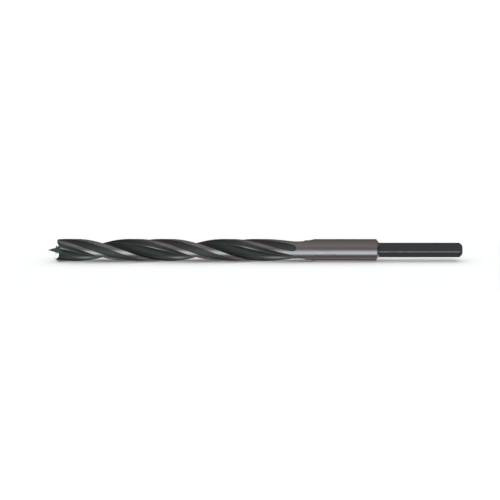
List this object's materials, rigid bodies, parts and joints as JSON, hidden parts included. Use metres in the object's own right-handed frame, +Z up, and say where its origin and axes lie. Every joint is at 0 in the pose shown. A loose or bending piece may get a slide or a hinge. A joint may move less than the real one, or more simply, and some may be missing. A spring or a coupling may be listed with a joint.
{
  "type": "wood drill bit",
  "caption": "Long brad-point drill bit for wood with wide helical flutes, double margins, a plain neck and a hexagonal shank.",
  "frame": {"origin": "centre of the shank's flat end face, on the bit's axis", "axes": "+X along the axis from the brad point to the shank's end; the point lies at -X; +Z is up as it lies in the picture"},
  "size_m": [0.298, 0.016, 0.016],
  "materials": {
    "steel": "dark oxide in the flutes, recesses and on the shank, ground bare on the margins and neck"
  },
  "bodies": {
    "root": {"drill_bit": "steel"}
  },
  "joints": []
}
